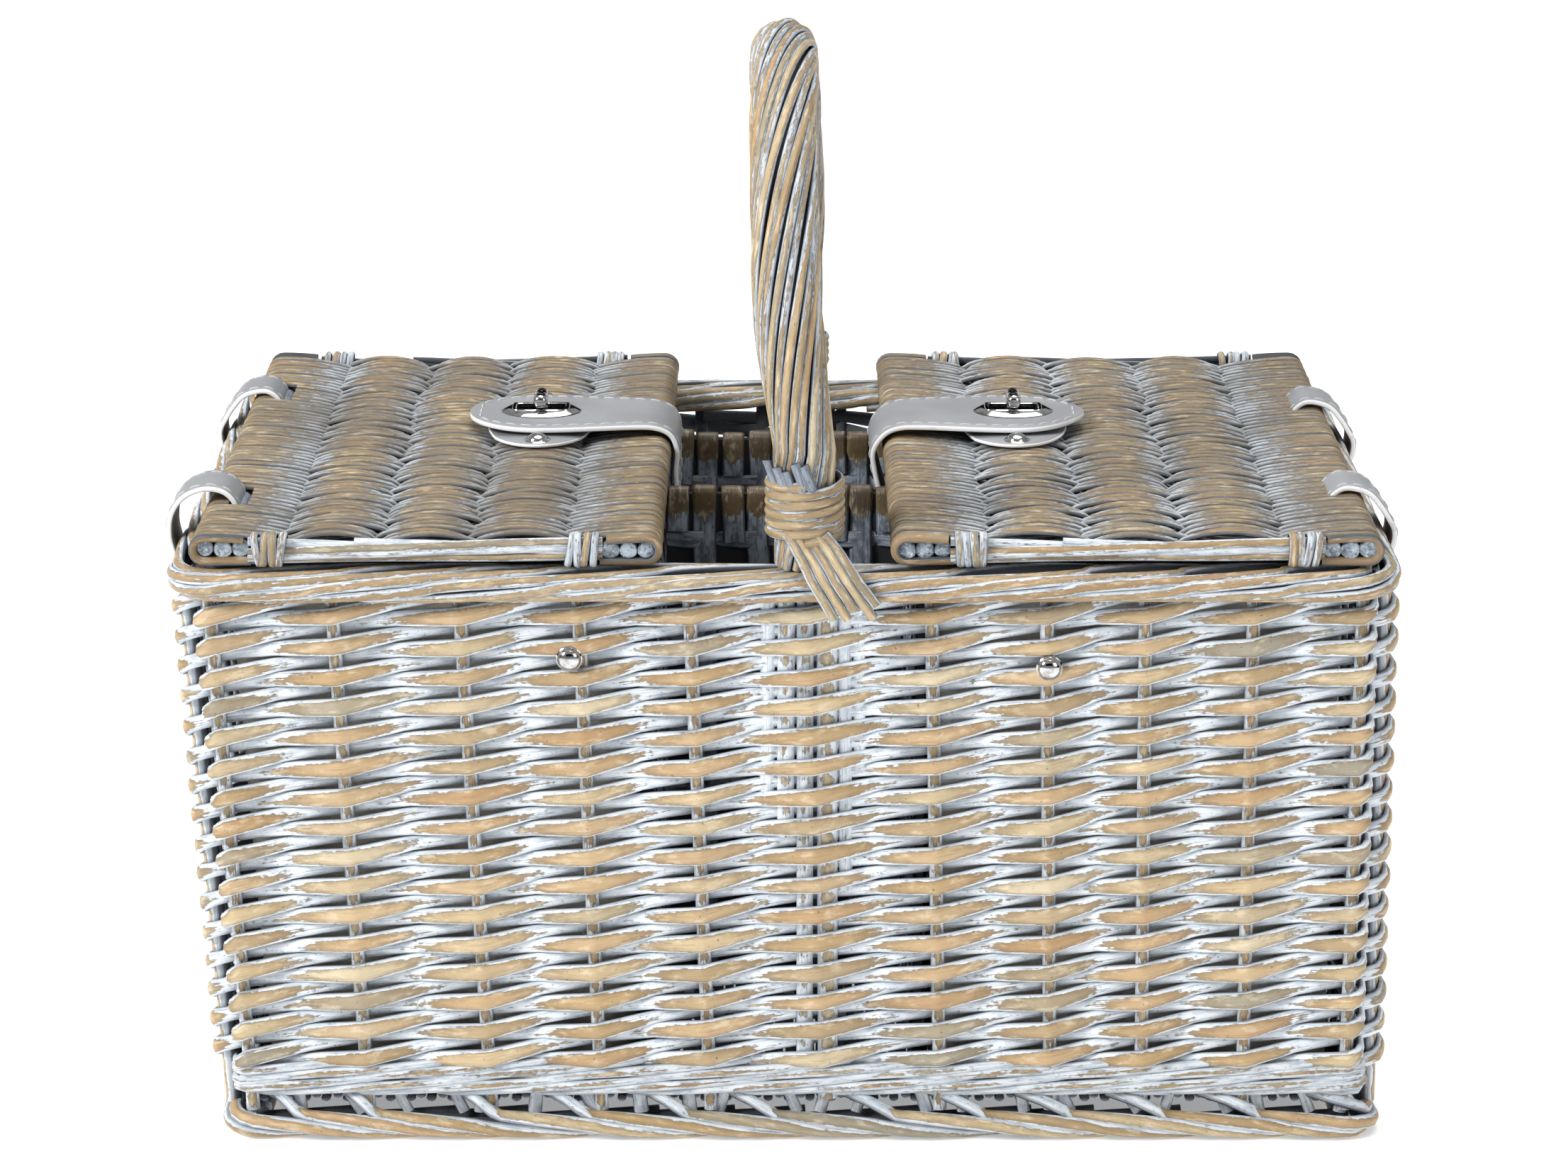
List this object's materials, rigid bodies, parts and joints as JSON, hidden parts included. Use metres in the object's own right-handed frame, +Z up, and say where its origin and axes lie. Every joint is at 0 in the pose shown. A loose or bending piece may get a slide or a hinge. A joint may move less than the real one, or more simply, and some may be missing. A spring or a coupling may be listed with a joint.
{
  "type": "picnic basket",
  "caption": "Oblong woven picnic basket with two hinged lids, turn-lock straps, inner partitions and a fixed hoop handle.",
  "frame": {"origin": "on the floor, under the middle of the whole basket", "axes": "+X along the basket's length, +Y from its front to its back, +Z up"},
  "size_m": [0.4246, 0.2572, 0.3747],
  "materials": {
    "willow_wall": "whitewashed split willow, rubbed to honey tan on the high spots",
    "willow_border": "whitewashed round willow rods, tan with blue-grey shadows",
    "willow_lid": "fine close willow weave, olive brown with white-blue streaks in the valleys",
    "willow_handle": "twisted willow rods, brown with a pale blue-grey wash in the grooves",
    "willow_shaded": "darker stained willow strips of the inside",
    "grey_leather": "smooth grey leather with cream cut edges and pale stitching",
    "nickel": "polished nickel",
    "lining_cloth": "fine grey-beige plain-weave cloth"
  },
  "bodies": {
    "basket": {"foot_border": "willow_border", "base_panel": "willow_shaded", "corner_post_front_left": "willow_shaded", "corner_post_front_right": "willow_shaded", "corner_post_rear_left": "willow_shaded", "corner_post_rear_right": "willow_shaded", "front_wall": "willow_wall", "rear_wall": "willow_wall", "left_wall": "willow_wall", "right_wall": "willow_wall", "front_rivet_left": "nickel", "front_rivet_right": "nickel", "rim_front": "willow_border", "rim_rear": "willow_border", "rim_left": "willow_border", "rim_right": "willow_border", "handle_bow": "willow_handle", "handle_binding_front": "willow_handle", "handle_tails_front": "willow_handle", "handle_binding_rear": "willow_handle", "divider_left": "willow_shaded", "divider_right": "willow_shaded", "cross_divider_front": "willow_shaded", "cross_divider_rear": "willow_shaded", "lining_left": "lining_cloth", "lining_right": "lining_cloth", "hinge_loop_left_front": "grey_leather", "hinge_loop_left_rear": "grey_leather", "hinge_loop_right_front": "grey_leather", "hinge_loop_right_rear": "grey_leather"},
    "lid_left": {"lid_panel_left": "willow_lid", "lid_inner_sticks_left": "willow_border", "lid_outer_sticks_left": "willow_border", "lid_front_edge_left": "willow_border", "lid_rear_edge_left": "willow_border", "lid_binding_left_front_outer": "willow_border", "lid_binding_left_front_inner": "willow_border", "lid_binding_left_rear_outer": "willow_border", "lid_binding_left_rear_inner": "willow_border", "lid_lining_left": "lining_cloth", "lock_patch_left": "grey_leather", "lock_post_left": "nickel", "closure_strap_left": "grey_leather", "eyelet_plate_left": "nickel"},
    "lid_right": {"lid_panel_right": "willow_lid", "lid_inner_sticks_right": "willow_border", "lid_outer_sticks_right": "willow_border", "lid_front_edge_right": "willow_border", "lid_rear_edge_right": "willow_border", "lid_binding_right_front_outer": "willow_border", "lid_binding_right_front_inner": "willow_border", "lid_binding_right_rear_outer": "willow_border", "lid_binding_right_rear_inner": "willow_border", "lid_lining_right": "lining_cloth", "lock_patch_right": "grey_leather", "lock_post_right": "nickel", "closure_strap_right": "grey_leather", "eyelet_plate_right": "nickel"},
    "knob_left": {"turn_knob_left": "nickel"},
    "knob_right": {"turn_knob_right": "nickel"}
  },
  "joints": [
    {"name": "lid_left_hinge", "type": "hinge", "parent": "basket", "child": "lid_left", "pos_m": [-0.19495, 0, 0.21845], "axis": [0, -1, 0], "range_deg": [0, 175], "deforming": ["hinge_loop_left_front", "hinge_loop_left_rear"]},
    {"name": "lid_right_hinge", "type": "hinge", "parent": "basket", "child": "lid_right", "pos_m": [0.19665, 0, 0.21845], "axis": [0, 1, 0], "range_deg": [0, 175], "deforming": ["hinge_loop_right_front", "hinge_loop_right_rear"]},
    {"name": "knob_left_turn", "type": "hinge", "parent": "lid_left", "child": "knob_left", "pos_m": [-0.089, 0.018, 0.2335], "axis": [0, 0, 1], "range_deg": [0, 90]},
    {"name": "knob_right_turn", "type": "hinge", "parent": "lid_right", "child": "knob_right", "pos_m": [0.084, 0.018, 0.2335], "axis": [0, 0, 1], "range_deg": [0, 90]}
  ]
}
